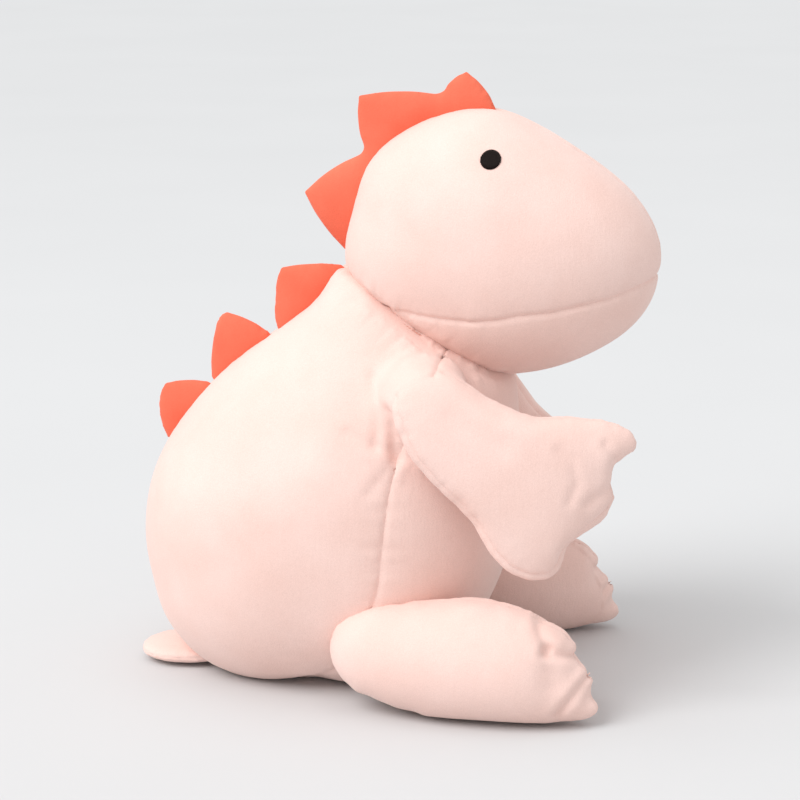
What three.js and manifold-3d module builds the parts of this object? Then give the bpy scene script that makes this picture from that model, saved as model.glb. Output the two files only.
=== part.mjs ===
// Seated stuffed dinosaur: sewn velour covers over fibre stuffing, with a bean pouch in the seat.
// Millimetres, +Z up, +X forward, +Y to the animal's left. The origin is the middle of the flat
// seat, on the surface that the toy sits on.

import * as THREE from 'three';
import { mergeVertices } from 'three/addons/utils/BufferGeometryUtils.js';
import Module from 'manifold-3d';

const wasm = await Module();
wasm.setup();

// ---------------------------------------------------------------- driving dimensions

const CLOTH = 2; // velour with its knitted backing
const GAP = 0.4; // clearance between pieces that touch
const SEAM_GAP = 0.3; // clearance between two panels at their seam
const FAR = 1000; // more than twice the toy, for cutting solids

// Outlines run clockwise as seen from the toy's right: back, top, front, bottom. Each is [x, z].
const TORSO = {
  centre: [10, 115],
  half: 102,
  fullness: 0.9,
  outline: [
    [-115, 93], [-111, 128], [-98, 157], [-64, 199], [-28, 227], [-2, 249], [14, 271],
    [42, 286], [88, 268], [119, 232], [128, 190], [131, 145], [128, 103], [120, 68],
    [105, 35], [82, 8], [45, -9], [0, -11], [-45, -9], [-80, 7], [-102, 33], [-111, 63],
  ],
};
const SHOULDER_START = 120; // above this height the torso narrows towards the neck
const SHOULDER_LOSS = 0.25; // share of the width lost at SHOULDER_RISE above that
const SHOULDER_RISE = 115;

const HEAD = {
  centre: [118, 286],
  half: 71,
  fullness: 0.96,
  outline: [
    [17, 272], [23, 308], [37, 341], [68, 364], [112, 372], [165, 347], [204, 316], [221, 284],
    [216, 255], [201, 233], [172, 214], [138, 203], [101, 203], [62, 220], [29, 246],
  ],
};

// Seam between each side panel and the belly panel, and between each cheek and the chin panel.
const BELLY_SEAM = [
  [98, 250], [84, 212], [65, 166], [59, 141], [55, 107], [52, 81], [46, 61], [36, 38],
  [18, 16], [-15, -2], [-60, -20],
];
const MOUTH_SEAM = [
  [0, 250], [60, 247], [100, 245], [137, 250], [173, 256], [205, 264], [240, 274],
];

// Neck: a round wad of stuffing in a socket, on a plane that faces up and forward.
const NECK = new THREE.Vector3(66.5, 0, 237);
const NECK_TILT = 33; // degrees that the neck plane's normal leans forward
const NECK_RADIUS = 44;
const SOCKET_ROOM = 2.8; // the socket is faceted, so its flats come closer than this
const NOD_FORWARD = 10;
const NOD_BACK = 5;
const HEAD_LIFT = 0.5; // head's underside above the neck plane
const TORSO_DROP = 2.8; // torso's rim below the neck plane
const THREAD_RADIUS = 0.9;
const THREAD_RING = 45.6;

// Arms: flat three-fingered paddles, outlined around the shoulder.
const ARM = {
  pivot: [80, 97, 200],
  yaw: { right: 14, left: 18 }, // degrees that the hands turn in
  lean: { right: 8, left: 16 }, // degrees that the top edge leans in
  droop: { right: 0, left: 36 }, // degrees that the hand hangs below the right one's place
  centre: [60, -45],
  half: 19,
  outline: [
    [-23, -2], [-17, 15], [8, 27], [40, 10], [68, -2], [100, -6], [131, -14], [139, -29],
    [123, -43], [124, -62], [110, -79], [94, -89], [87, -105], [74, -113], [50, -106],
    [22, -71], [-5, -41], [-18, -18],
  ],
  root: { radius: 25, depth: 19, inward: 10 },
};
const ARM_TAPER = [60, 130, 0.8]; // from x, to x, share of the thickness left

// Legs: stuffed almost round, with three toes, outlined around the hip.
const LEG = {
  pivot: [50, 88, 38],
  yaw: 5, // degrees that the toes turn out
  roll: 6, // degrees that the top edge leans in
  centre: [55, -1],
  half: 36,
  fullness: 0.84,
  outline: [
    [-32, 0], [-25, 20], [-4, 29], [25, 34], [58, 39], [86, 37], [108, 28], [123, 18],
    [134, 8], [129, 0], [143, -8], [137, -17], [147, -27], [134, -36], [108, -39.5],
    [68, -40], [30, -38.5], [0, -32], [-24, -19],
  ],
  root: 33,
};
const LEG_TAPER = [70, 145, 0.8];
const SPLAY_IN = 5;
const LIMB_ROOM = 2.6; // room that the torso leaves round the root of a limb

// Tail: a flat rounded stub, outlined in plan around its root.
const TAIL = {
  pivot: [-85, 0, 6.9],
  half: 6.8,
  centre: [-14, 0],
  outline: [
    [-42, 0], [-38, 17], [-23, 29], [-3, 27], [11, 15], [15, 0], [11, -15], [-3, -27],
    [-23, -29], [-38, -17],
  ],
};
const TAIL_SWING = 15;

// Back fins: base on the back seam from the top end to the bottom end, then the outer edge.
const FINS = [
  { name: 'upper', base: [[11, 264], [-28, 227]], edge: [[-30, 246], [-25, 267], [8, 271]] },
  { name: 'middle', base: [[-33, 222], [-71, 190]], edge: [[-70, 229], [-63, 238], [-34, 227]] },
  { name: 'lower', base: [[-75, 187], [-103, 150]], edge: [[-110, 172], [-108, 189], [-77, 192]] },
];
const FIN_HALF = 6.5;
const FIN_LIFT = 2.2; // base edge above the back, room for the fin to bend sideways
const FIN_CLOTH = 1.6;
const CORNER = 3.5; // corner radius of fins and crest
const PAD_REACH = 16; // about half the width of a fin

// Crest: three points in one piece along the top of the head.
const CREST_HALF = 6;
const CREST = [
  [[62, 366], [74, 380], [95, 398], [114, 375], [106, 360], [66, 352]],
  [[28, 343], [25, 378], [75, 380], [96, 362], [62, 346], [38, 322]],
  [[-12, 316], [24, 334], [30, 350], [48, 350], [38, 300], [15, 279]],
];

const EYE = { place: [116, 346], radius: [6.2, 5.6], height: 1.1 };

// Pouch of plastic beans that weights the seat, with the slit that it was filled through.
const POUCH = {
  centre: [4, 14],
  half: 40,
  fullness: 0.85,
  outline: [[-50, 14], [-42, 28], [-16, 35], [22, 35], [48, 28], [56, 14], [46, -2], [0, -8], [-40, -3]],
};
const POUCH_CLOTH = 1;
const POUCH_SLIT = [30, 4, 20];

// Facets of each form: round its outline, and from one side to the other. A cover and what is
// inside it have the same, so that the cloth between them keeps its thickness.
const FACETS = {
  torso: [22, 8],
  head: [22, 8],
  arm: [30, 4],
  leg: [28, 6],
  tail: [14, 4],
  pouch: [12, 6],
  pad: [20, 4],
  root: [10, 6],
  wad: [16, 8],
  socket: [16, 8],
  room: [16, 8],
};

// ---------------------------------------------------------------- materials

const cloth = (colour, roughness) =>
  new THREE.MeshStandardMaterial({ color: colour, roughness, metalness: 0 });
const PINK_VELOUR = () => cloth(0xf6d3c8, 0.92);
const CORAL_VELOUR = () => cloth(0xf4694f, 0.9);
const FIBRE_FILL = () => cloth(0xf7f5f0, 1);
const LINING = () => cloth(0xe9e4d8, 0.85);
const PELLETS = () => cloth(0xdadad2, 0.6);
const BLACK_THREAD = () => cloth(0x1a0f0c, 0.45);
const PINK_THREAD = () => cloth(0xeebcae, 0.7);

// ---------------------------------------------------------------- solids

const degrees = THREE.MathUtils.degToRad;

function toSolid(geometry) {
  const bare = geometry.clone();
  bare.deleteAttribute('normal');
  bare.deleteAttribute('uv');
  const merged = mergeVertices(bare, 1e-4);
  return new wasm.Manifold(new wasm.Mesh({
    numProp: 3,
    vertProperties: new Float32Array(merged.attributes.position.array),
    triVerts: new Uint32Array(merged.index.array),
  }));
}

function toGeometry(solid) {
  const { vertProperties, triVerts } = solid.getMesh();
  const geometry = new THREE.BufferGeometry();
  geometry.setAttribute('position', new THREE.BufferAttribute(new Float32Array(vertProperties), 3));
  geometry.setIndex(new THREE.BufferAttribute(new Uint32Array(triVerts), 1));
  geometry.computeVertexNormals();
  return geometry;
}

const cut = (solid, ...tools) => tools.reduce((left, tool) => left.subtract(tool), solid);
const join = (first, ...rest) => rest.reduce((all, next) => all.add(next), first);

function smoothLoop(points) {
  const corners = points.map(([x, z]) => new THREE.Vector3(x, z, 0));
  return new THREE.CatmullRomCurve3(corners, true, 'centripetal');
}

// A polygon with rounded corners, as a closed path.
function roundedLoop(corners, radius) {
  const points = corners.map(([x, z]) => new THREE.Vector2(x, z));
  const path = new THREE.Path();
  points.forEach((corner, i) => {
    const before = points.at(i - 1).clone().sub(corner);
    const after = points[(i + 1) % points.length].clone().sub(corner);
    const reach = Math.min(radius, before.length() / 3, after.length() / 3);
    const start = before.setLength(reach).add(corner);
    const end = after.setLength(reach).add(corner);
    if (i === 0) path.moveTo(start.x, start.y);
    else path.lineTo(start.x, start.y);
    path.quadraticCurveTo(corner.x, corner.y, end.x, end.y);
  });
  path.closePath();
  return path;
}

const middleOf = (corners) => [0, 1].map(
  (axis) => corners.reduce((sum, corner) => sum + corner[axis], 0) / corners.length,
);

// A lightly stuffed flat piece: a pillow over a polygon with rounded corners. inset draws it in
// towards its middle, by that much at PAD_REACH from it.
function pad(corners, half, inset) {
  const centre = middleOf(corners);
  const left = 1 - inset / PAD_REACH;
  const shrunk = corners.map((corner) => corner.map((v, axis) => centre[axis] + (v - centre[axis]) * left));
  const loop = roundedLoop(shrunk, CORNER * left);
  const form = pillow({ loop, centre, half: half - inset, facets: FACETS.pad, fullness: 0.7 });
  return toSolid(form);
}

// A stuffed form: an outline in X and Z, crowned to half its thickness on both sides in Y.
// inset shrinks it all round by that much. The outline is star-shaped about the centre.
function pillow({ loop, centre, half, fullness = 1, inset = 0, facets, widthAt }) {
  const geometry = new THREE.SphereGeometry(1, ...facets);
  const { position, uv } = geometry.attributes;
  for (let i = 0; i < position.count; i += 1) {
    const turn = uv.getX(i) % 1;
    const side = THREE.MathUtils.clamp(position.getY(i), -1, 1);
    const rim = Math.sqrt(Math.max(0, 1 - side * side)) ** fullness;
    const crown = Math.sign(side) * Math.abs(side) ** fullness;
    const point = loop.getPoint(turn);
    const tangent = loop.getTangent(turn);
    const x = centre[0] + (point.x + tangent.y * inset - centre[0]) * rim;
    const z = centre[1] + (point.y - tangent.x * inset - centre[1]) * rim;
    const width = widthAt ? widthAt(x, z) : 1;
    position.setXYZ(i, x, crown * (half - inset) * width, z);
  }
  return geometry;
}

// A region bounded by a seam curve in X and Z and closed by far corners, as wide as the toy.
function seamRegion(seam, corners, shift = [0, 0]) {
  const curve = new THREE.SplineCurve(seam.map(([x, z]) => new THREE.Vector2(x, z)));
  const points = curve.getPoints(seam.length * 2);
  const shape = new THREE.Shape([...points, ...corners.map(([x, z]) => new THREE.Vector2(x, z))]);
  const geometry = new THREE.ExtrudeGeometry(shape, { depth: FAR, bevelEnabled: false });
  geometry.translate(shift[0], shift[1], -FAR / 2);
  geometry.rotateX(Math.PI / 2);
  return toSolid(geometry);
}

function halfSpace(origin, direction, offset) {
  const box = new THREE.BoxGeometry(FAR, FAR, FAR);
  box.translate(0, 0, FAR / 2 + offset);
  const turn = new THREE.Quaternion().setFromUnitVectors(new THREE.Vector3(0, 0, 1), direction);
  box.applyQuaternion(turn);
  box.translate(origin.x, origin.y, origin.z);
  return toSolid(box);
}

const AXIS_Y = new THREE.Vector3(0, 1, 0);
const AXIS_Z = new THREE.Vector3(0, 0, 1);
const GROUND = new THREE.Vector3(0, 0, 0);
const DOWN = new THREE.Vector3(0, 0, -1);

function ball(radius, centre, facets) {
  const geometry = new THREE.SphereGeometry(radius, ...facets);
  geometry.translate(centre.x, centre.y, centre.z);
  return geometry;
}

const taper = ([from, to, left]) => (x) => 1 - (1 - left) * THREE.MathUtils.smoothstep(x, from, to);

// ---------------------------------------------------------------- assembly helpers

const dinosaur = new THREE.Group();

function addPiece(group, name, solid, material) {
  const mesh = new THREE.Mesh(toGeometry(solid), material);
  mesh.name = name;
  group.add(mesh);
}

// Splits a cover into its two face panels, on either side of a plane through the piece.
function splitFaces(shell, direction = AXIS_Y) {
  const near = halfSpace(GROUND, direction, -SEAM_GAP / 2);
  const far = halfSpace(GROUND, direction.clone().negate(), -SEAM_GAP / 2);
  return [cut(shell, near), cut(shell, far)];
}

// ---------------------------------------------------------------- limbs

const sideSign = { right: -1, left: 1 };

function armFrame(side) {
  const sign = sideSign[side];
  const turn = new THREE.Euler(
    degrees(sign * ARM.lean[side]),
    degrees(ARM.droop[side]),
    degrees(-sign * ARM.yaw[side]),
    'ZXY',
  );
  const [x, y, z] = ARM.pivot;
  return { position: new THREE.Vector3(x, sign * y, z), rotation: turn };
}

function legFrame(side, extraYaw = 0) {
  const sign = sideSign[side];
  const turn = new THREE.Euler(degrees(sign * LEG.roll), 0, degrees(sign * (LEG.yaw + extraYaw)), 'ZXY');
  const [x, y, z] = LEG.pivot;
  return { position: new THREE.Vector3(x, sign * y, z), rotation: turn };
}

function frameMatrix({ position, rotation }) {
  const turn = new THREE.Quaternion().setFromEuler(rotation);
  return new THREE.Matrix4().compose(position, turn, new THREE.Vector3(1, 1, 1));
}

function armSolid(side, inset, facets) {
  const paddle = pillow({
    ...ARM, loop: smoothLoop(ARM.outline), inset, facets, widthAt: taper(ARM_TAPER),
  });
  const root = new THREE.SphereGeometry(1, ...FACETS.root);
  root.scale(ARM.root.radius - inset, ARM.root.depth - inset, ARM.root.radius - inset);
  root.translate(0, -sideSign[side] * ARM.root.inward, 0);
  return join(toSolid(paddle), toSolid(root));
}

function legForm(inset, facets) {
  return pillow({
    ...LEG, loop: smoothLoop(LEG.outline), inset, facets, widthAt: taper(LEG_TAPER),
  });
}

// Share of the space inside a leg's cover that its stuffing fills, clear of the toe notches.
const LEG_FILL = 0.985;

function legSolid(inset, facets, frame, share = 1) {
  const form = legForm(inset, facets);
  const [x, z] = LEG.centre;
  form.translate(-x, 0, -z).scale(share, share, share).translate(x, 0, z);
  const back = frameMatrix(frame).invert();
  const floor = new THREE.BoxGeometry(FAR, FAR, FAR);
  const clear = share < 1 ? inset + GAP : Math.max(0, inset);
  floor.translate(0, 0, -FAR / 2 + clear);
  floor.applyMatrix4(back);
  return cut(toSolid(form), toSolid(floor));
}

function tailSolid(inset, facets) {
  const form = pillow({ ...TAIL, loop: smoothLoop(TAIL.outline), inset, facets });
  form.rotateX(-Math.PI / 2);
  return toSolid(form);
}

// Room that the torso leaves for the roots of the limbs and the tail over their whole swing.
function limbRoom() {
  const rooms = [];
  for (const side of ['right', 'left']) {
    const arm = new THREE.SphereGeometry(1, ...FACETS.room);
    arm.scale(
      ARM.root.radius + LIMB_ROOM,
      ARM.root.depth + LIMB_ROOM,
      ARM.root.radius + LIMB_ROOM,
    );
    arm.translate(0, -sideSign[side] * ARM.root.inward, 0);
    arm.applyMatrix4(frameMatrix(armFrame(side)));
    rooms.push(toSolid(arm));
    const hip = new THREE.SphereGeometry(LEG.root + LIMB_ROOM, ...FACETS.room);
    const [x, y, z] = LEG.pivot;
    hip.translate(x, sideSign[side] * y, z);
    rooms.push(toSolid(hip));
    for (const inward of [0, SPLAY_IN]) {
      const leg = legForm(-LIMB_ROOM, FACETS.room);
      leg.applyMatrix4(frameMatrix(legFrame(side, -inward)));
      rooms.push(toSolid(leg));
    }
  }
  for (const swing of [-TAIL_SWING, 0, TAIL_SWING]) {
    const tail = pillow({
      ...TAIL, loop: smoothLoop(TAIL.outline), inset: -LIMB_ROOM, facets: FACETS.tail,
    });
    tail.rotateX(-Math.PI / 2);
    tail.rotateZ(degrees(swing));
    tail.translate(...TAIL.pivot);
    rooms.push(toSolid(tail));
  }
  return rooms;
}

function addLimb(name, frame, whole, inner, stuffing, faceNames) {
  const group = new THREE.Group();
  group.position.copy(frame.position);
  group.rotation.copy(frame.rotation);
  const [rightFace, leftFace] = splitFaces(cut(whole, inner));
  addPiece(group, `${name}_${faceNames.right}_panel`, rightFace, PINK_VELOUR());
  addPiece(group, `${name}_${faceNames.left}_panel`, leftFace, PINK_VELOUR());
  addPiece(group, `${name}_stuffing`, stuffing, FIBRE_FILL());
  dinosaur.add(group);
}

const FACE_NAMES = {
  right: { right: 'outer', left: 'inner' },
  left: { right: 'inner', left: 'outer' },
};

function addArm(side) {
  const [whole, inner, stuffing] = [
    armSolid(side, 0, FACETS.arm),
    armSolid(side, CLOTH, FACETS.arm),
    armSolid(side, CLOTH + GAP, FACETS.arm),
  ];
  addLimb(`arm_${side}`, armFrame(side), whole, inner, stuffing, FACE_NAMES[side]);
}

function addLeg(side) {
  const frame = legFrame(side);
  const [whole, inner, stuffing] = [
    legSolid(0, FACETS.leg, frame),
    legSolid(CLOTH, FACETS.leg, frame),
    legSolid(CLOTH, FACETS.leg, frame, LEG_FILL),
  ];
  addLimb(`leg_${side}`, frame, whole, inner, stuffing, FACE_NAMES[side]);
}

function addTail() {
  const group = new THREE.Group();
  group.position.set(...TAIL.pivot);
  const shell = cut(tailSolid(0, FACETS.tail), tailSolid(CLOTH, FACETS.tail));
  const [lower, upper] = splitFaces(shell, AXIS_Z);
  addPiece(group, 'tail_lower_panel', lower, PINK_VELOUR());
  addPiece(group, 'tail_upper_panel', upper, PINK_VELOUR());
  addPiece(group, 'tail_stuffing', tailSolid(CLOTH + GAP, FACETS.tail), FIBRE_FILL());
  dinosaur.add(group);
}

// ---------------------------------------------------------------- neck planes

const neckNormal = AXIS_Z.clone().applyAxisAngle(AXIS_Y, degrees(NECK_TILT));
const nodForwardNormal = neckNormal.clone().applyAxisAngle(AXIS_Y, degrees(NOD_FORWARD));
const nodBackNormal = neckNormal.clone().applyAxisAngle(AXIS_Y, degrees(-NOD_BACK));

function addNeck() {
  const group = new THREE.Group();
  group.position.copy(NECK);
  group.quaternion.setFromUnitVectors(AXIS_Z, neckNormal);
  const wad = new THREE.SphereGeometry(NECK_RADIUS, ...FACETS.wad);
  wad.rotateX(Math.PI / 2);
  addPiece(group, 'neck_stuffing', toSolid(wad), FIBRE_FILL());
  const thread = new THREE.TorusGeometry(THREAD_RING, THREAD_RADIUS, 5, 20);
  thread.translate(0, 0, -THREAD_RADIUS - GAP);
  addPiece(group, 'neck_gather_thread', toSolid(thread), PINK_THREAD());
  dinosaur.add(group);
}

// ---------------------------------------------------------------- torso

const torsoWidth = (x, z) => {
  const rise = Math.max(0, z - SHOULDER_START) / SHOULDER_RISE;
  return 1 - SHOULDER_LOSS * Math.min(1.4, rise * rise);
};

function torsoForm(inset, facets) {
  const form = pillow({
    ...TORSO, loop: smoothLoop(TORSO.outline), inset, facets, widthAt: torsoWidth,
  });
  const below = halfSpace(GROUND, DOWN, -Math.max(0, inset));
  const above = [
    halfSpace(NECK, nodForwardNormal, -TORSO_DROP - inset),
    halfSpace(NECK, nodBackNormal, -TORSO_DROP - inset),
  ];
  return cut(toSolid(form), below, ...above);
}

function pouchSolid(inset) {
  const loop = smoothLoop(POUCH.outline);
  const bag = toSolid(pillow({ ...POUCH, loop, inset, facets: FACETS.pouch }));
  const sole = CLOTH + GAP + Math.max(0, inset);
  return cut(bag, halfSpace(GROUND, DOWN, -sole)).intersect(torsoForm(sole, FACETS.torso));
}

function addTorso() {
  const socket = toSolid(ball(NECK_RADIUS + SOCKET_ROOM, NECK, FACETS.socket));
  const rooms = [socket, ...limbRoom()];
  const shell = cut(torsoForm(0, FACETS.torso), torsoForm(CLOTH, FACETS.torso), ...rooms);

  const frontCorners = [[-60, -FAR], [FAR, -FAR], [FAR, FAR], [98, FAR]];
  const front = seamRegion(BELLY_SEAM, frontCorners);
  const frontWide = seamRegion(BELLY_SEAM, frontCorners, [-SEAM_GAP, 0]);
  addPiece(dinosaur, 'belly_panel', shell.intersect(front), PINK_VELOUR());
  const [right, left] = splitFaces(cut(shell, frontWide));
  addPiece(dinosaur, 'body_side_right', right, PINK_VELOUR());
  addPiece(dinosaur, 'body_side_left', left, PINK_VELOUR());

  const pouchRoom = toSolid(pillow({
    ...POUCH, loop: smoothLoop(POUCH.outline), inset: -GAP, facets: FACETS.pouch,
  }));
  const stuffing = cut(torsoForm(CLOTH + GAP, FACETS.torso), ...rooms, pouchRoom);
  addPiece(dinosaur, 'body_stuffing', stuffing, FIBRE_FILL());

  const slit = new THREE.BoxGeometry(...POUCH_SLIT);
  slit.translate(POUCH.centre[0], 0, Math.max(...POUCH.outline.map(([, z]) => z)));
  const pouch = cut(pouchSolid(0), pouchSolid(POUCH_CLOTH), toSolid(slit));
  addPiece(dinosaur, 'bean_pouch', pouch, LINING());
  addPiece(dinosaur, 'bean_filling', pouchSolid(POUCH_CLOTH + GAP), PELLETS());
}

// ---------------------------------------------------------------- head

function headForm(inset, facets) {
  const form = pillow({ ...HEAD, loop: smoothLoop(HEAD.outline), inset, facets });
  const below = halfSpace(NECK, neckNormal.clone().negate(), -HEAD_LIFT - Math.max(0, inset));
  return cut(toSolid(form), below);
}

function wholeHead(inset) {
  return toSolid(pillow({ ...HEAD, loop: smoothLoop(HEAD.outline), inset, facets: FACETS.head }));
}

function addEye(side) {
  const [x, z] = EYE.place;
  const disc = new THREE.CylinderGeometry(1, 1, FAR / 2, 12);
  disc.scale(EYE.radius[0], 1, EYE.radius[1]);
  disc.translate(x, sideSign[side] * FAR / 4, z);
  const raised = wholeHead(-GAP - EYE.height).intersect(toSolid(disc));
  addPiece(dinosaur, `eye_${side}`, cut(raised, wholeHead(-GAP)), BLACK_THREAD());
}

const crestSolid = (inset) => join(...CREST.map((corners) => pad(corners, CREST_HALF, inset)));

function addHead() {
  const socket = toSolid(ball(NECK_RADIUS + SOCKET_ROOM, NECK, FACETS.socket));
  const shell = cut(headForm(0, FACETS.head), headForm(CLOTH, FACETS.head), socket);
  const lowCorners = [[FAR, 274], [FAR, -FAR], [-FAR, -FAR], [-FAR, 250]];
  const low = seamRegion(MOUTH_SEAM, lowCorners);
  const lowWide = seamRegion(MOUTH_SEAM, lowCorners, [0, SEAM_GAP]);
  addPiece(dinosaur, 'chin_panel', shell.intersect(low), PINK_VELOUR());
  const [right, left] = splitFaces(cut(shell, lowWide));
  addPiece(dinosaur, 'head_side_right', right, PINK_VELOUR());
  addPiece(dinosaur, 'head_side_left', left, PINK_VELOUR());
  addPiece(dinosaur, 'head_stuffing', cut(headForm(CLOTH + GAP, FACETS.head), socket), FIBRE_FILL());

  const skull = wholeHead(-GAP);
  const crest = cut(crestSolid(0), skull);
  const [crestRight, crestLeft] = splitFaces(cut(crest, crestSolid(FIN_CLOTH)));
  addPiece(dinosaur, 'crest_right_face', crestRight, CORAL_VELOUR());
  addPiece(dinosaur, 'crest_left_face', crestLeft, CORAL_VELOUR());
  const wadding = cut(crestSolid(FIN_CLOTH + GAP), wholeHead(-GAP - FIN_CLOTH));
  addPiece(dinosaur, 'crest_wadding', wadding, FIBRE_FILL());
}

// ---------------------------------------------------------------- back fins

function finSolid({ base, edge }, inset) {
  const [top, bottom] = base.map(([x, z]) => new THREE.Vector2(x, z));
  const along = top.clone().sub(bottom).normalize();
  const outward = new THREE.Vector2(-along.y, along.x).multiplyScalar(FIN_LIFT);
  const lifted = [top, bottom].map((end) => end.clone().add(outward).toArray());
  return pad([...edge, ...lifted], FIN_HALF, inset);
}

function addFin(fin) {
  const shell = cut(finSolid(fin, 0), finSolid(fin, FIN_CLOTH));
  const [right, left] = splitFaces(shell);
  addPiece(dinosaur, `fin_${fin.name}_right_face`, right, CORAL_VELOUR());
  addPiece(dinosaur, `fin_${fin.name}_left_face`, left, CORAL_VELOUR());
  addPiece(dinosaur, `fin_${fin.name}_wadding`, finSolid(fin, FIN_CLOTH + GAP), FIBRE_FILL());
}

// ---------------------------------------------------------------- whole toy

addTorso();
addNeck();
addHead();
for (const side of ['right', 'left']) {
  addEye(side);
  addArm(side);
  addLeg(side);
}
addTail();
FINS.forEach(addFin);

export default dinosaur;
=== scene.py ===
"""Seated stuffed dinosaur: sewn velour covers over fibre stuffing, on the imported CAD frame.

Metres, +Z up, +X the way the toy faces, +Y to its left. Lengths below are in millimetres where a
name ends in _MM or a list of outline points is given, and are scaled on use.
"""

import math

import bpy
import numpy as np
from mathutils import Matrix, Vector, bvhtree, geometry, kdtree, noise


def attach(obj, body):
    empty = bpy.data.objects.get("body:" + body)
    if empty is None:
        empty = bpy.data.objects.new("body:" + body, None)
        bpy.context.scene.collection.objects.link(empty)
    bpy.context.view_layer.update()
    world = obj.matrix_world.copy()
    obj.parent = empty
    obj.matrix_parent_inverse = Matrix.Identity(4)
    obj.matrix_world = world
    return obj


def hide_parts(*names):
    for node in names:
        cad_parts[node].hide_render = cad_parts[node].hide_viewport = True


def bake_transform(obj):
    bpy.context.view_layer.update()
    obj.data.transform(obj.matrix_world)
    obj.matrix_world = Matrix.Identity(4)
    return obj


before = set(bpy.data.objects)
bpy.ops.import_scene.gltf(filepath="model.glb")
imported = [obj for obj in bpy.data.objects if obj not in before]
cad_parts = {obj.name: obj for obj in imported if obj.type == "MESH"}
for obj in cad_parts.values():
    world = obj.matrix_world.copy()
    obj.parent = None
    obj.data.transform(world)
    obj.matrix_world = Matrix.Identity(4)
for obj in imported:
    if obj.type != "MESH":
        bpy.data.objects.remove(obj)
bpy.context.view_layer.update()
scene = bpy.context.scene
MM = 0.001

# ------------------------------------------------------------------ camera, light and floor

VIEW_AZIMUTH = math.radians(8)
VIEW_HEIGHT = math.radians(13)
VIEW_DISTANCE = 1.8
VIEW_TARGET = Vector((0.0525, 0, 0.1805))
LENS_MM = 124.6
SENSOR_MM = 36

WORLD_LIGHT = 0.8
KEY_LIGHT = 2.0
KEY_WAY = (0.62, 0.62, -0.85)
KEY_SPREAD = math.radians(38)
TOP_LIGHT = 8
TOP_WAY = (0.15, 0.05, -1)
TOP_SIZE = 2.2
LIGHT_TARGET = Vector((0.05, 0, 0.18))
LIGHT_DISTANCE = 2.2


def add_camera():
    back = Vector((
        math.sin(VIEW_AZIMUTH) * math.cos(VIEW_HEIGHT),
        -math.cos(VIEW_AZIMUTH) * math.cos(VIEW_HEIGHT),
        math.sin(VIEW_HEIGHT),
    ))
    data = bpy.data.cameras.new("camera")
    data.lens = LENS_MM
    data.sensor_width = SENSOR_MM
    camera = bpy.data.objects.new("camera", data)
    camera.location = VIEW_TARGET + back * VIEW_DISTANCE
    camera.rotation_mode = "QUATERNION"
    camera.rotation_quaternion = (-back).to_track_quat("-Z", "Y")
    scene.collection.objects.link(camera)
    scene.camera = camera


def add_light(name, kind, energy, direction, **settings):
    """A light that shines along direction, placed well away from the toy."""
    data = bpy.data.lights.new(name, kind)
    data.energy = energy
    for key, value in settings.items():
        setattr(data, key, value)
    light = bpy.data.objects.new(name, data)
    way = Vector(direction).normalized()
    light.location = LIGHT_TARGET - way * LIGHT_DISTANCE
    light.rotation_mode = "QUATERNION"
    light.rotation_quaternion = way.to_track_quat("-Z", "Y")
    scene.collection.objects.link(light)


def add_studio():
    world = bpy.data.worlds.new("studio")
    world.use_nodes = True
    background = world.node_tree.nodes["Background"]
    background.inputs["Color"].default_value = (1.0, 1.0, 1.0, 1)
    background.inputs["Strength"].default_value = WORLD_LIGHT
    scene.world = world
    add_light("key", "SUN", KEY_LIGHT, KEY_WAY, angle=KEY_SPREAD)
    add_light("top", "AREA", TOP_LIGHT, TOP_WAY, size=TOP_SIZE)
    scene.view_settings.view_transform = "Standard"
    scene.view_settings.look = "None"


# ------------------------------------------------------------------ materials


def nodes_of(name):
    material = bpy.data.materials.new(name)
    material.use_nodes = True
    tree = material.node_tree
    return material, tree, tree.nodes["Principled BSDF"]


def link(tree, source, target):
    tree.links.new(source, target)


def noise_node(tree, scale, detail=2.0, stretch=(1, 1, 1), roughness=0.5):
    place = tree.nodes.new("ShaderNodeTexCoord")
    mapping = tree.nodes.new("ShaderNodeMapping")
    mapping.inputs["Scale"].default_value = stretch
    texture = tree.nodes.new("ShaderNodeTexNoise")
    texture.inputs["Scale"].default_value = scale
    texture.inputs["Detail"].default_value = detail
    texture.inputs["Roughness"].default_value = roughness
    link(tree, place.outputs["Object"], mapping.inputs["Vector"])
    link(tree, mapping.outputs["Vector"], texture.inputs["Vector"])
    return texture.outputs["Fac"]


def ramp_node(tree, source, low, high, colour_low, colour_high):
    ramp = tree.nodes.new("ShaderNodeValToRGB")
    ramp.color_ramp.elements[0].position = low
    ramp.color_ramp.elements[1].position = high
    ramp.color_ramp.elements[0].color = (*colour_low, 1)
    ramp.color_ramp.elements[1].color = (*colour_high, 1)
    link(tree, source, ramp.inputs["Fac"])
    return ramp.outputs["Color"]


def mix_node(tree, first, second, share, mode="MULTIPLY"):
    mix = tree.nodes.new("ShaderNodeMix")
    mix.data_type = "RGBA"
    mix.blend_type = mode
    mix.inputs["Factor"].default_value = share
    link(tree, first, mix.inputs["A"])
    link(tree, second, mix.inputs["B"])
    return mix.outputs["Result"]


def bump_node(tree, source, strength, distance, normal=None):
    bump = tree.nodes.new("ShaderNodeBump")
    bump.inputs["Strength"].default_value = strength
    bump.inputs["Distance"].default_value = distance
    link(tree, source, bump.inputs["Height"])
    if normal is not None:
        link(tree, normal, bump.inputs["Normal"])
    return bump.outputs["Normal"]


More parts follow.
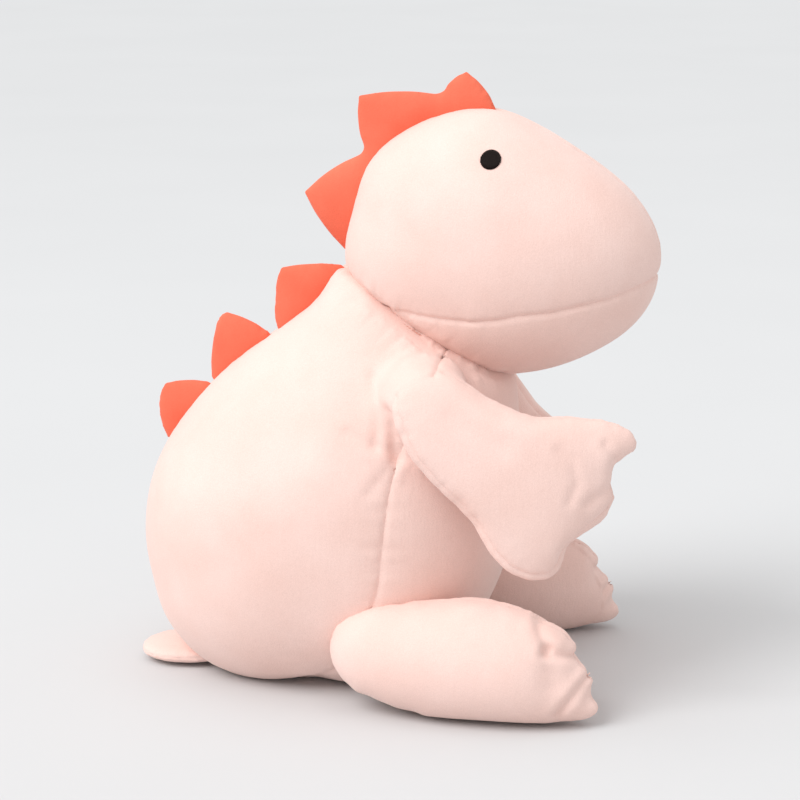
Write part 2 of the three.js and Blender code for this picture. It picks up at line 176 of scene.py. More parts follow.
def velour(name, light, deep, sheen=0.3, tint=(1, 0.93, 0.9)):
    """Short dense pile: soft brushed patches, fine pile grain and a pale sheen."""
    material, tree, shader = nodes_of(name)
    brushed = ramp_node(tree, noise_node(tree, 26, 3), 0.3, 0.72, deep, light)
    grain = ramp_node(tree, noise_node(tree, 1500, 2), 0.25, 0.75, (0.9, 0.89, 0.88), (1, 1, 1))
    link(tree, mix_node(tree, brushed, grain, 1.0), shader.inputs["Base Color"])
    shader.inputs["Roughness"].default_value = 0.92
    shader.inputs["Specular IOR Level"].default_value = 0.12
    shader.inputs["Sheen Weight"].default_value = sheen
    shader.inputs["Sheen Roughness"].default_value = 0.45
    shader.inputs["Sheen Tint"].default_value = (*tint, 1)
    pile = bump_node(tree, noise_node(tree, 1150, 3), 0.35, 0.0006)
    nap = bump_node(tree, noise_node(tree, 330, 2, (1, 1, 0.16)), 0.16, 0.0011, pile)
    link(tree, nap, shader.inputs["Normal"])
    return material


def thread(name, light, deep, gloss):
    """Twisted thread: fine strands along it and a soft gloss."""
    material, tree, shader = nodes_of(name)
    strands = ramp_node(tree, noise_node(tree, 2600, 2), 0.3, 0.7, deep, light)
    link(tree, strands, shader.inputs["Base Color"])
    shader.inputs["Roughness"].default_value = gloss
    shader.inputs["Specular IOR Level"].default_value = 0.15
    link(tree, bump_node(tree, noise_node(tree, 3200, 2), 0.4, 0.0003), shader.inputs["Normal"])
    return material


def fibre(name):
    """Lofted white fibre: fine tangled strands."""
    material, tree, shader = nodes_of(name)
    clumps = ramp_node(tree, noise_node(tree, 90, 5), 0.3, 0.7, (0.72, 0.71, 0.69), (0.9, 0.9, 0.88))
    link(tree, clumps, shader.inputs["Base Color"])
    shader.inputs["Roughness"].default_value = 0.95
    shader.inputs["Sheen Weight"].default_value = 0.4
    link(tree, bump_node(tree, noise_node(tree, 700, 6), 0.8, 0.002), shader.inputs["Normal"])
    return material


def woven(name, colour):
    """Plain woven lining: two crossing sets of threads."""
    material, tree, shader = nodes_of(name)
    warp = noise_node(tree, 900, 1, (1, 1, 0.1))
    weft = noise_node(tree, 900, 1, (0.1, 0.1, 1))
    deep = tuple(0.8 * c for c in colour)
    along = ramp_node(tree, warp, 0.35, 0.65, deep, colour)
    across = ramp_node(tree, weft, 0.35, 0.65, deep, colour)
    link(tree, mix_node(tree, along, across, 0.5, "MIX"), shader.inputs["Base Color"])
    shader.inputs["Roughness"].default_value = 0.85
    normal = bump_node(tree, warp, 0.5, 0.0004)
    link(tree, bump_node(tree, weft, 0.5, 0.0004, normal), shader.inputs["Normal"])
    return material


def moulded(name, colour):
    """Moulded plastic pellets with a faint skin texture."""
    material, tree, shader = nodes_of(name)
    deep = tuple(0.85 * c for c in colour)
    cloudy = ramp_node(tree, noise_node(tree, 220, 2), 0.3, 0.7, deep, colour)
    link(tree, cloudy, shader.inputs["Base Color"])
    shader.inputs["Roughness"].default_value = 0.5
    link(tree, bump_node(tree, noise_node(tree, 1400, 2), 0.2, 0.0002), shader.inputs["Normal"])
    return material


def backdrop(name):
    """Matt seamless paper."""
    material, tree, shader = nodes_of(name)
    link(tree, ramp_node(
        tree, noise_node(tree, 3, 2), 0.2, 0.8, (0.622, 0.628, 0.635), (0.637, 0.643, 0.65),
    ), shader.inputs["Base Color"])
    shader.inputs["Roughness"].default_value = 1
    shader.inputs["Specular IOR Level"].default_value = 0
    return material


PINK = velour("pink_velour", (0.93, 0.685, 0.625), (0.89, 0.63, 0.565))
CORAL = velour("coral_velour", (0.90, 0.20, 0.12), (0.84, 0.15, 0.085), 0.25, (1, 0.7, 0.62))
FIBRE = fibre("fibre_fill")
LINING = woven("pouch_lining", (0.81, 0.77, 0.68))
PELLETS = moulded("plastic_beans", (0.7, 0.7, 0.65))
PINK_THREAD = thread("pink_thread", (0.85, 0.5, 0.42), (0.7, 0.38, 0.31), 0.6)
BLACK_THREAD = thread("black_thread", (0.012, 0.006, 0.004), (0.005, 0.002, 0.002), 0.5)
PAPER = backdrop("seamless_paper")

# ------------------------------------------------------------------ curves and grids


def smooth_loop(outline, step, closed=True):
    """Points about step apart along a centripetal Catmull-Rom curve through the outline."""
    points = np.array(outline, float)
    if closed:
        padded = np.vstack((points[-1:], points, points[:2]))
    else:
        padded = np.vstack((2 * points[:1] - points[1:2], points, 2 * points[-1:] - points[-2:-1]))
    pieces = []
    for k in range(len(padded) - 3):
        p = padded[k:k + 4]
        t = np.concatenate(([0], np.cumsum(np.linalg.norm(np.diff(p, axis=0), axis=1) ** 0.5)))
        u = np.linspace(t[1], t[2], 24, endpoint=False)[:, None]
        a = [(t[i + 1] - u) / (t[i + 1] - t[i]) * p[i] + (u - t[i]) / (t[i + 1] - t[i]) * p[i + 1]
             for i in range(3)]
        b = [(t[i + 2] - u) / (t[i + 2] - t[i]) * a[i] + (u - t[i]) / (t[i + 2] - t[i]) * a[i + 1]
             for i in range(2)]
        pieces.append((t[2] - u) / (t[2] - t[1]) * b[0] + (u - t[1]) / (t[2] - t[1]) * b[1])
    curve = np.vstack(pieces + [points[:1] if closed else points[-1:]])
    along = np.concatenate(([0], np.cumsum(np.linalg.norm(np.diff(curve, axis=0), axis=1))))
    count = max(8, int(round(along[-1] / step)))
    wanted = np.linspace(0, along[-1], count, endpoint=not closed)
    return np.column_stack([np.interp(wanted, along, curve[:, k]) for k in range(curve.shape[1])])


def frame_matrix(place, x=0.0, y=0.0, z=0.0):
    """A place and turns in degrees about Y, then X, then Z."""
    turn = (
        Matrix.Rotation(math.radians(z), 4, "Z")
        @ Matrix.Rotation(math.radians(x), 4, "X")
        @ Matrix.Rotation(math.radians(y), 4, "Y")
    )
    return Matrix.Translation(Vector(place) * MM) @ turn


def moved(points, matrix):
    m = np.array(matrix)
    return points @ m[:3, :3].T + m[:3, 3]


# ------------------------------------------------------------------ closed forms


def rings(count, columns, start=0):
    """The quads between rings of points that follow each other."""
    return [
        (a + c, a + (c + 1) % columns, a + columns + (c + 1) % columns, a + columns + c)
        for a in range(start, start + (count - 1) * columns, columns)
        for c in range(columns)
    ]


def pillow(outline, centre, half, fullness, width=None):
    """A stuffed form over an outline in X and Z, crowned to half on both sides, as points and faces."""
    loop = smooth_loop(outline, 5.0)
    rows = 56  # from one side of the form to the other
    angle = np.linspace(-math.pi / 2, math.pi / 2, rows + 1)[1:-1]
    rim = np.cos(angle) ** fullness
    crown = np.sign(np.sin(angle)) * np.abs(np.sin(angle)) ** fullness
    x = centre[0] + (loop[:, 0] - centre[0])[None, :] * rim[:, None]
    z = centre[1] + (loop[:, 1] - centre[1])[None, :] * rim[:, None]
    y = crown[:, None] * half * (np.ones_like(x) if width is None else width(x, z))
    points = np.stack((x, y, z), axis=2).reshape(-1, 3)
    reach = half * (1 if width is None else float(width(np.array(centre[0]), np.array(centre[1]))))
    points = np.vstack((points, [[centre[0], -reach, centre[1]], [centre[0], reach, centre[1]]]))
    columns = len(loop)
    faces = rings(rows - 1, columns)
    last = (rows - 2) * columns
    for c in range(columns):
        d = (c + 1) % columns
        faces.append((len(points) - 2, d, c))
        faces.append((last + c, last + d, len(points) - 1))
    return points * MM, faces


def inside(polygon, points):
    """Which points are inside a closed polygon."""
    x, z = points[:, 0], points[:, 1]
    within = np.zeros(len(points), bool)
    for (x1, z1), (x2, z2) in zip(polygon, np.roll(polygon, -1, axis=0)):
        crosses = (z1 > z) != (z2 > z)
        if z1 != z2:
            within ^= crosses & (x < (x2 - x1) * (z - z1) / (z2 - z1) + x1)
    return within


def inflated(outline, half, step, power=0.5, width=None):
    """Two flat panels sewn round their rim and blown up: the height solves a soap-film equation.

    Returns points and faces, with the panels on both sides of the plane Y = 0. The rim comes first."""
    rim = smooth_loop(outline, step)
    low, high = rim.min(0), rim.max(0)
    xs = np.arange(low[0], high[0], step)
    zs = np.arange(low[1], high[1], step * 0.866)
    grid = np.array([(x + (k % 2) * step / 2, z) for k, z in enumerate(zs) for x in xs])
    gap = np.min(np.linalg.norm(grid[:, None] - rim[None], axis=2), axis=1)
    grid = grid[inside(rim, grid) & (gap > step * 0.62)]
    flat = [Vector(p) for p in np.vstack((rim, grid))]
    count = len(rim)
    sheet = geometry.delaunay_2d_cdt(flat, [], [list(range(count))], 1, 1e-5)
    points = np.array([tuple(p) for p in sheet[0]])
    faces = [f for f in sheet[2] if len(f) == 3]
    n = len(points)
    near = np.zeros((n, n))
    for a, b, c in faces:
        near[a, b] = near[b, a] = near[b, c] = near[c, b] = near[a, c] = near[c, a] = 1
    edge = np.zeros(n, bool)
    edge[:count] = True
    free = ~edge
    laplace = np.diag(near.sum(1)) - near
    film = np.zeros(n)
    film[free] = np.linalg.solve(laplace[np.ix_(free, free)], np.ones(free.sum()))
    height = half * (film / film.max()) ** power
    if width is not None:
        height = height * width(points[:, 0], points[:, 1])
    front = np.column_stack((points[:, 0], -height, points[:, 1]))
    behind = np.column_stack((points[:, 0], height, points[:, 1]))[free]
    index = np.arange(n)
    index[free] = n + np.arange(free.sum())
    backs = [tuple(int(index[v]) for v in reversed(f)) for f in faces]
    return np.vstack((front, behind)) * MM, [tuple(f) for f in faces] + backs


def ellipsoid(centre, radii, rows=18, columns=28):
    angle = np.linspace(0, math.pi, rows + 1)[1:-1]
    turn = np.linspace(0, 2 * math.pi, columns, endpoint=False)
    x = np.sin(angle)[:, None] * np.cos(turn)[None]
    y = np.sin(angle)[:, None] * np.sin(turn)[None]
    z = np.repeat(np.cos(angle)[:, None], columns, axis=1)
    points = np.stack((x, y, z), axis=2).reshape(-1, 3)
    points = np.vstack((points, [[0, 0, 1], [0, 0, -1]])) * np.array(radii) + np.array(centre)
    faces = [(a, d, c, b) for a, b, c, d in rings(rows - 1, columns)]
    last = (rows - 2) * columns
    for c in range(columns):
        d = (c + 1) % columns
        faces.append((len(points) - 2, c, d))
        faces.append((last + d, last + c, len(points) - 1))
    return points * MM, faces


def joined(forms):
    points, faces, start = [], [], 0
    for p, f in forms:
        points.append(p)
        faces += [tuple(v + start for v in face) for face in f]
        start += len(p)
    return np.vstack(points), faces


def temporary(points, faces):
    mesh = bpy.data.meshes.new("temporary")
    mesh.from_pydata(points.tolist(), [], faces)
    mesh.update()
    shape = bpy.data.objects.new("temporary", mesh)
    scene.collection.objects.link(shape)
    return shape


def discard(shape):
    mesh = shape.data
    bpy.data.objects.remove(shape)
    bpy.data.meshes.remove(mesh)


def evaluated(shape):
    """Points and faces of a temporary object with its modifiers, which is then removed."""
    result = shape.evaluated_get(bpy.context.evaluated_depsgraph_get())
    mesh = result.to_mesh()
    points = np.zeros(len(mesh.vertices) * 3)
    mesh.vertices.foreach_get("co", points)
    faces = [tuple(p.vertices) for p in mesh.polygons]
    result.to_mesh_clear()
    discard(shape)
    return points.reshape(-1, 3), faces


def remeshed(form, voxel):
    """One even closed skin round a form or overlapping forms."""
    shape = temporary(*form)
    modifier = shape.modifiers.new("skin", "REMESH")
    modifier.mode = "VOXEL"
    modifier.voxel_size = voxel * MM
    return evaluated(shape)


def stuffed(form, pressure, frames, cap):
    """Cloth blown up from inside: the skin crowns between its creases. No point moves more than cap."""
    points, faces = form
    shape = temporary(points, faces)
    cloth = shape.modifiers.new("cloth", "CLOTH")
    settings = cloth.settings
    settings.quality = 4
    settings.mass = 0.3
    settings.tension_stiffness = 12
    settings.compression_stiffness = 12
    settings.shear_stiffness = 6
    settings.bending_stiffness = 0.4
    settings.use_pressure = True
    settings.uniform_pressure_force = pressure
    settings.effector_weights.gravity = 0
    cloth.collision_settings.use_collision = False
    cloth.point_cache.frame_start = 1
    cloth.point_cache.frame_end = frames
    for step in range(1, frames + 1):
        scene.frame_set(step)
    blown, _ = evaluated(shape)
    scene.frame_set(1)
    shift = blown - points
    reach = np.linalg.norm(shift, axis=1, keepdims=True)
    return points + shift * np.minimum(1, cap * MM / np.maximum(reach, 1e-9)), faces


# ------------------------------------------------------------------ skins


SNAP = 3.5e-4  # a point this near to a cut, in metres, is taken to be on it
ON_PLANE = 2e-6  # how far from a plane of symmetry a point on it may be, in metres


class Skin:
    """A triangle mesh: points, triangles, a label for each triangle and named values for each point."""

    def __init__(self, form):
        points, faces = form
        self.points = np.array(points)
        a, b, c, d = np.array([f for f in faces if len(f) == 4], int).reshape(-1, 4).T
        first = np.linalg.norm(self.points[a] - self.points[c], axis=1)
        second = np.linalg.norm(self.points[b] - self.points[d], axis=1)
        short = (first < second)[:, None]
        self.triangles = np.vstack((
            np.where(short, np.column_stack((a, b, c)), np.column_stack((a, b, d))),
            np.where(short, np.column_stack((a, c, d)), np.column_stack((b, c, d))),
            np.array([f for f in faces if len(f) == 3], int).reshape(-1, 3),
        ))
        self.labels = np.zeros(len(self.triangles), int)
        self.values = {}

    def corners(self):
        """The three edges of each triangle as keys that are the same from both sides."""
        t = self.triangles
        ends = np.stack((t, np.roll(t, -1, axis=1)), axis=2)
        return ends.min(2) * len(self.points) + ends.max(2)

    def spread(self, values, times, mask=1.0, share=0.5):
        """Evens values out between neighbouring points."""
        n = len(self.points)
        keys = np.unique(self.corners())
        i, j = keys // n, keys % n
        count = np.bincount(i, minlength=n) + np.bincount(j, minlength=n)
        flat = np.array(values, float).reshape(n, -1)
        weight = np.broadcast_to(mask, (n,))[:, None] * share
        for _ in range(times):
            total = np.column_stack([
                np.bincount(i, flat[j, k], n) + np.bincount(j, flat[i, k], n) for k in range(flat.shape[1])
            ])
            flat = flat + weight * (total / np.maximum(count, 1)[:, None] - flat)
        return flat.reshape(np.shape(values))

    def smooth(self, times, mask=1.0, share=0.5):
        self.points = self.spread(self.points, times, mask, share)

    def normals(self):
        p = self.points[self.triangles]
        face = np.cross(p[:, 1] - p[:, 0], p[:, 2] - p[:, 0])
        n = len(self.points)
        total = np.column_stack([
            sum(np.bincount(self.triangles[:, k], face[:, axis], n) for k in range(3)) for axis in range(3)
        ])
        return total / np.maximum(np.linalg.norm(total, axis=1, keepdims=True), 1e-12)

    def cut(self, value, labels, low, high):
        """Cuts the triangles that have one of the labels where a value is zero, and labels both parts."""
        f = np.where(np.abs(value) < SNAP, 0.0, value)
        chosen = np.isin(self.labels, labels)
        corner = f[self.triangles]
        crossing = chosen & (corner.min(1) < 0) & (corner.max(1) > 0)
        keys = self.corners()
        following = np.roll(self.triangles, -1, axis=1)
        opposite = f[self.triangles] * f[following] < 0
        wanted = np.unique(keys[crossing[:, None] & opposite])
        n = len(self.points)
        a, b = wanted // n, wanted % n
        share = (f[a] / (f[a] - f[b]))
        added = self.points[a] + share[:, None] * (self.points[b] - self.points[a])
        self.points = np.vstack((self.points, added))
        for name, old in self.values.items():
            self.values[name] = np.concatenate((old, old[a] + share * (old[b] - old[a])))
        f = np.concatenate((f, np.zeros(len(a))))
        split = np.isin(keys, wanted)
        middle = n + np.searchsorted(wanted, keys)
        t, labels_now = self.triangles, self.labels
        count = split.sum(1)
        out, tags = [t[count == 0]], [labels_now[count == 0]]
        for k in range(3):
            order = [(k + m) % 3 for m in range(3)]
            one = (count == 1) & split[:, k]
            v, m = t[one][:, order], middle[one][:, k]
            out += [np.column_stack((v[:, 0], m, v[:, 2])), np.column_stack((m, v[:, 1], v[:, 2]))]
            tags += [labels_now[one]] * 2
            two = (count == 2) & ~split[:, order[2]]
            v, m, w = t[two][:, order], middle[two][:, order[0]], middle[two][:, order[1]]
            out += [
                np.column_stack((m, v[:, 1], w)),
                np.column_stack((v[:, 0], m, w)),
                np.column_stack((v[:, 0], w, v[:, 2])),
            ]
            tags += [labels_now[two]] * 3
        self.triangles, self.labels = np.vstack(out), np.concatenate(tags)
        mean = f[self.triangles].mean(1)
        chosen = np.isin(self.labels, labels)
        self.labels = np.where(chosen, np.where(mean > 0, high, low), self.labels)
        return f

    def seam(self, *pairs):
        """The points on the seams between pairs of labels, and the middles of the edges there."""
        keys = self.corners().reshape(-1)
        label = np.repeat(self.labels, 3)
        order = np.argsort(keys, kind="stable")
        keys, label = keys[order], label[order]
        same = np.nonzero(keys[1:] == keys[:-1])[0]
        found = []
        for low, high in pairs:
            hit = same[
                ((label[same] == low) & (label[same + 1] == high))
                | ((label[same] == high) & (label[same + 1] == low))
            ]
            found.append(keys[hit])
        ends = np.concatenate(found)
        n = len(self.points)
        a, b = self.points[ends // n], self.points[ends % n]
        return np.vstack((a, b, (a + b) / 2))


def nearest(points, targets):
    """For each point, the distance to the nearest target and that target."""
    tree = kdtree.KDTree(len(targets))
    for k, target in enumerate(targets):
        tree.insert(target, k)
    tree.balance()
    found = [tree.find(p) for p in points]
    return np.array([f[2] for f in found]), np.array([tuple(f[0]) for f in found])


def surface_distance(points, form):
    """Distance from each point to a form's surface."""
    tree = bvhtree.BVHTree.FromPolygons([tuple(p) for p in form[0]], form[1])
    return np.array([tree.find_nearest(p)[3] for p in points])


def lumps(points, size_mm, seed):
    """Smooth noise from -1 to 1 with features of about that size."""
    shift = Vector((seed * 7.31, seed * 3.17, seed * 5.71))
    scale = 1 / (size_mm * MM)
    return np.array([noise.noise(Vector(p) * scale + shift) for p in points])


def line_distance(points, line):
    """Distance in metres from each point to a line of points in millimetres."""
    line = np.array(line, float) * MM
    best = np.full(len(points), 1e9)
    for a, b in zip(line[:-1], line[1:]):
        way = b - a
        t = np.clip((points - a) @ way / (way @ way), 0, 1)
        best = np.minimum(best, np.linalg.norm(points - a - t[:, None] * way, axis=1))
    return best


def bell(distance, width_mm):
    return np.exp(-((distance / (width_mm * MM)) ** 2))


def crease(skin, line, deep, width, place, side):
    """A fold along a line of (x, z) points on one side of a form: a hollow between two soft rolls."""
    local = moved(skin.points, place.inverted())
    distance = line_distance(local[:, [0, 2]], line)
    height = 0.25 * deep * bell(distance - 2.2 * width * MM, 1.3 * width) - deep * bell(distance, width)
    height = height * (local[:, 1] * side > 0)
    skin.points = skin.points + skin.normals() * (height * MM)[:, None]


def sew(skin, seam, groove=1.3, pull=1.6, reach=11.0, pucker=0.9, beat=7.0, seed=1, where=None):
    """Draws the skin in along a seam: a narrow groove, a wide soft pull and puckers that run off it."""
    margin = 3 * reach * MM
    near = np.all((skin.points > seam.min(0) - margin) & (skin.points < seam.max(0) + margin), axis=1)
    distance, target = nearest(skin.points[near], seam)
    inward = -groove * bell(distance, 1.7) - pull * np.exp(-distance / (reach * MM))
    wave = lumps(target, beat, seed) + 0.5 * lumps(target, beat * 0.45, seed + 3)
    inward = inward + pucker * wave * np.exp(-((distance / (reach * MM)) ** 2)) * (1 - bell(distance, 1.2))
    if where is not None:
        inward = inward * where[near]
    skin.points[near] += skin.normals()[near] * (inward * MM)[:, None]


# ------------------------------------------------------------------ pieces


def add_object(name, points, faces, material):
    mesh = bpy.data.meshes.new(name)
    mesh.from_pydata(np.asarray(points).tolist(), [], [tuple(int(v) for v in f) for f in faces])
    mesh.update()
    mesh.polygons.foreach_set("use_smooth", [True] * len(mesh.polygons))
    mesh.materials.append(material)
    piece = bpy.data.objects.new(name, mesh)
    scene.collection.objects.link(piece)
    return piece


def add_panel(name, node, skin, label, material):
    """One cloth panel of a skin, as its own piece standing for a CAD node."""
    triangles = skin.triangles[skin.labels == label]
    used, compact = np.unique(triangles, return_inverse=True)
    piece = add_object(name, skin.points[used], compact.reshape(-1, 3), material)
    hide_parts(node)
    return piece


def add_stuffing(name, node, form, inset, lump, seed):
    """Lumpy fibre inside a cover: the cover's form drawn in and made uneven."""
    skin = Skin(form)
    skin.smooth(3)
    shift = -inset + lump * lumps(skin.points, 24, seed)
    skin.points = skin.points + skin.normals() * (shift * MM)[:, None]
    skin.points[:, 2] = np.maximum(skin.points[:, 2], 0.003)
    piece = add_object(name, skin.points, skin.triangles, FIBRE)
    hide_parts(node)
    return piece


# ------------------------------------------------------------------ shape of the toy, in millimetres

SIGN = {"right": -1, "left": 1}

NECK = np.array((66.5, 0, 237.0))
NECK_TILT = math.radians(33)
NECK_WAY = np.array((math.sin(NECK_TILT), 0, math.cos(NECK_TILT)))
NECK_FOLD = -2.0

TORSO_OUTLINE = [
    (-115, 93), (-111, 128), (-98, 157), (-64, 199), (-28, 227), (-2, 249), (14, 271),
    (42, 286), (88, 268), (119, 232), (128, 190), (131, 145), (128, 103), (120, 68),
    (105, 35), (82, 8), (45, -9), (0, -11), (-45, -9), (-80, 7), (-102, 33), (-111, 63),
]
TORSO_CENTRE = (10, 115)
TORSO_HALF = 101
HEAD_OUTLINE = [
    (17, 274), (23, 308), (35, 340), (66, 363), (112, 372), (165, 347), (204, 316), (220, 284),
    (216, 255), (201, 233), (172, 214), (138, 203), (101, 202), (62, 220), (29, 246),
]
HEAD_CENTRE = (118, 286)
HEAD_HALF = 70.5

BELLY_SEAM = [
    (110, 286), (98, 250), (84, 212), (65, 166), (59, 141), (55, 107), (52, 81), (46, 61),
    (36, 38), (18, 16), (-15, -2), (-60, -20),
]
MOUTH_SEAM = [
    (0, 250), (60, 247), (100, 245), (117, 246), (137, 250), (156, 252), (173, 256), (189, 259),
    (205, 264), (240, 274),
]

ARM_PLACE = (80, 97, 200)
ARM_LEAN = {"right": 8, "left": 16}
ARM_DROOP = {"right": 0, "left": 36}
ARM_YAW = {"right": 14, "left": 18}
ARM_HALF = 18.5
ARM_ACROSS = np.array((0.46, 0.887))  # from the lower to the upper edge
RIM_WRAP = 7.5  # how far the inner panel wraps round the lower edge
ARM_OUTLINE = [
    (-23, -2), (-17, 15), (8, 27), (40, 10), (68, -2), (100, -6), (124, -11), (137, -19),
    (138, -30), (125, -41), (122, -50), (123, -62), (112, -78), (97, -88), (91, -94), (86, -106),
    (74, -113), (50, -106), (22, -71), (-5, -41), (-18, -18),
]
SHOULDER_PLACE = (78, 71, 200)
SHOULDER_RADII = (28, 36, 30)

LEG_PLACE = (50, 88, 38)
LEG_ROLL = 6
LEG_YAW = 5
LEG_HALF = 37
LEG_OUTLINE = [
    (-32, 0), (-25, 20), (-4, 30), (25, 35), (58, 39), (86, 37), (106, 29), (121, 20),
    (131, 10), (129, 2), (137, -2), (142, -9), (137, -16), (143, -21), (147, -29), (134, -36),
    (108, -39.5), (68, -40), (30, -38.5), (0, -32), (-24, -19),
]

# Folds as (x and z points, depth, width): the body's round the armpit, the arm's in its own frame
# and the leg's between its toes, from the hip.
BODY_FOLDS = [
    ([(46, 212), (50, 197), (51, 182), (50, 172)], 1.3, 3.2),
    ([(58, 194), (60, 180), (63, 164)], 2.6, 3.4),
    ([(32, 180), (44, 173), (58, 168)], 0.8, 3.0),
    ([(60, 160), (46, 142)], 0.7, 3.6),
    ([(46, 258), (60, 246), (76, 230)], 0.9, 4.2),
]
ARM_FOLDS = [
    ([(82, -28), (90, -35), (93, -48), (88, -60)], 0.7, 3.0),
    ([(112, -26), (119, -35), (121, -46)], 1.0, 2.6),
    ([(100, -62), (112, -55), (124, -49)], 1.1, 3.2),
    ([(16, -6), (46, -24)], 0.8, 7.0),
]
LEG_FOLDS = [
    ([(100, 38), (105, 25), (110, 15)], 1.8, 3.0),
    ([(110, 14), (122, 9), (135, 4), (148, 0)], 2.6, 2.8),
    ([(111, 12), (114, -6)], 1.4, 6.5),
    ([(140, 0), (129, -12), (117, -27)], 2.2, 2.6),
]

TAIL_PLACE = (-85, 0, 6.9)
TAIL_OUTLINE = [
    (-38, 0), (-34, 16), (-20, 28), (2, 29), (18, 24), (24, 0), (18, -24), (2, -29),
    (-20, -28), (-34, -16),
]

CREST_OUTLINE = [
    (115, 371), (95, 396), (78, 381), (25, 379), (29, 343), (-11, 316), (17, 277), (30, 290),
    (36, 314), (50, 338), (76, 356), (108, 362),
]
FIN_OUTLINES = {
    "upper": [(15, 270), (-26, 267), (-30, 246), (-29, 225), (-20, 221), (6, 243), (21, 262)],
    "middle": [(-33, 224), (-62, 237), (-69, 229), (-73, 191), (-64, 185), (-27, 214)],
    "lower": [(-74, 190), (-104, 188), (-109, 173), (-103, 149), (-92, 149), (-66, 182)],
}
FIN_HALF = 6.3
EYE_PLACE = (116, 346)
EYE_RADII = (6.2, 5.5)

POUCH_CENTRE = (3, 17.5)
POUCH_OUTLINE = [
    (-51, 0), (-42, 24), (-16, 37), (22, 37), (46, 24), (52, 0), (46, -24), (22, -37),
    (-16, -37), (-42, -24),
]
POUCH_HALF = 12.5
BEAN_RADII = (2.4, 2.4, 1.7)
BEAN_PITCH = (5.2, 4.2)  # across and up
BEAN_GAP = 4.2  # from a bean's middle to the cloth, at least
THREAD_RING = 42.5
THREAD_RADIUS = 0.9


def torso_width(x, z):
    rise = np.maximum(0, z - 120) / 115
    return 1 - 0.25 * np.minimum(1.4, rise * rise)


def below_neck(points):
    """Distance in metres from the neck plane, below it positive."""
    return -(points - NECK * MM) @ NECK_WAY


def held_below(points, lift):
    """Points above the neck plane, pressed down on to it."""
    over = np.maximum(0, -below_neck(points) + lift * MM)
    return points - over[:, None] * NECK_WAY


def held_above(points, lift):
    under = np.maximum(0, below_neck(points) + lift * MM)
    return points + under[:, None] * NECK_WAY


def on_floor(points):
    """Points pressed flat where the toy rests."""
    out = points.copy()
    out[:, 2] = np.maximum(out[:, 2], 0.0003)
    return out


def mirrored(form):
    points, faces = form
    return points * np.array((1, -1, 1)), [tuple(reversed(f)) for f in faces]


def transformed(form, matrix):
    return moved(form[0], matrix), form[1]


def seam_value(points, line, along, across):
    """How far each point is past a seam line given as (x, z) points, in metres."""
    curve = np.array(smooth_loop(line, 4.0, closed=False)) * MM
    order = np.argsort(curve[:, along])
    level = 2 if along == 1 else 0
    at = np.interp(points[:, level], curve[order, along], curve[order, across])
    slope = np.gradient(curve[order, across], curve[order, along] + 1e-9 * np.arange(len(curve)))
    lean = np.interp(points[:, level], curve[order, along], slope)
    place = points[:, 0] if across == 0 else points[:, 2]
    return (place - at) / np.sqrt(1 + lean * lean)


def pointed(corners, radius, sag=0.0):
    """A polygon with small round corners and edges that bow in by sag."""
    points = np.array(corners, float)
    out = []
    for k in range(len(points)):
        corner, before, after = points[k], points[k - 1], points[(k + 1) % len(points)]
        back, on = before - corner, after - corner
        near = min(radius, np.linalg.norm(back) / 3, np.linalg.norm(on) / 3)
        start = corner + back / np.linalg.norm(back) * near
        end = corner + on / np.linalg.norm(on) * near
        for t in (0, 0.25, 0.5, 0.75, 1):
            out.append((1 - t) ** 2 * start + 2 * t * (1 - t) * corner + t * t * end)
        length = np.linalg.norm(on)
        inward = np.array((on[1], -on[0])) / length
        for t in (0.3, 0.5, 0.7):
            out.append(corner + on * t + inward * sag * math.sin(math.pi * t) * min(1, length / 30))
    return smooth_loop(out, 1.0)


# ------------------------------------------------------------------ body and arms

TORSO, ARM_OF = 0, {"right": 1, "left": 2}
BODY_VOXEL = 3.6

arm_matrix = {
    side: frame_matrix(
        (ARM_PLACE[0], SIGN[side] * ARM_PLACE[1], ARM_PLACE[2]),
        x=SIGN[side] * ARM_LEAN[side], y=ARM_DROOP[side], z=-SIGN[side] * ARM_YAW[side],
    )
    for side in SIGN
}


def arm_thickness(x, z):
    """Fuller at the shoulder and thinner towards the finger tips."""
    tip = np.clip((x - 70) / 70, 0, 1)
    return 1 + 0.12 * np.clip((20 - x) / 40, 0, 1) - 0.3 * tip * tip * (3 - 2 * tip)


def finer(form, voxel):
    """An evenly meshed skin of a form, with the steps of the mesh smoothed away."""
    skin = Skin(remeshed(form, voxel))
    skin.smooth(4)
    return skin


def build_body():
    torso = pillow(TORSO_OUTLINE, TORSO_CENTRE, TORSO_HALF, 0.9, torso_width)
    torso = (on_floor(held_below(torso[0], NECK_FOLD)), torso[1])
    paddle = inflated(ARM_OUTLINE, ARM_HALF, 3.6, 0.44, arm_thickness)
    arms, shoulders = {}, []
    for side, sign in SIGN.items():
        arms[side] = transformed(paddle, arm_matrix[side])
        x, y, z = SHOULDER_PLACE
        shoulders.append(ellipsoid((x, sign * y, z), SHOULDER_RADII))
    whole = joined([torso, *arms.values(), *shoulders])
    skin = finer(stuffed(remeshed(whole, BODY_VOXEL), 3.0, 14, 3.5), 2.2)
    for side, sign in SIGN.items():
        x, y, z = SHOULDER_PLACE
        far = np.linalg.norm((skin.points - np.array((x - 6, sign * (y + 14), z + 8)) * MM) / 0.042, axis=1)
        skin.smooth(26, np.clip(1.6 - far, 0, 1))
    trunk = joined([torso, *shoulders])
    trunk_distance = surface_distance(skin.points, trunk)
    for side in SIGN:
        gap = trunk_distance - surface_distance(skin.points, arms[side])
        skin.values[f"arm_{side}"] = skin.spread(gap, 8)
    return skin, torso


body, torso_form = build_body()

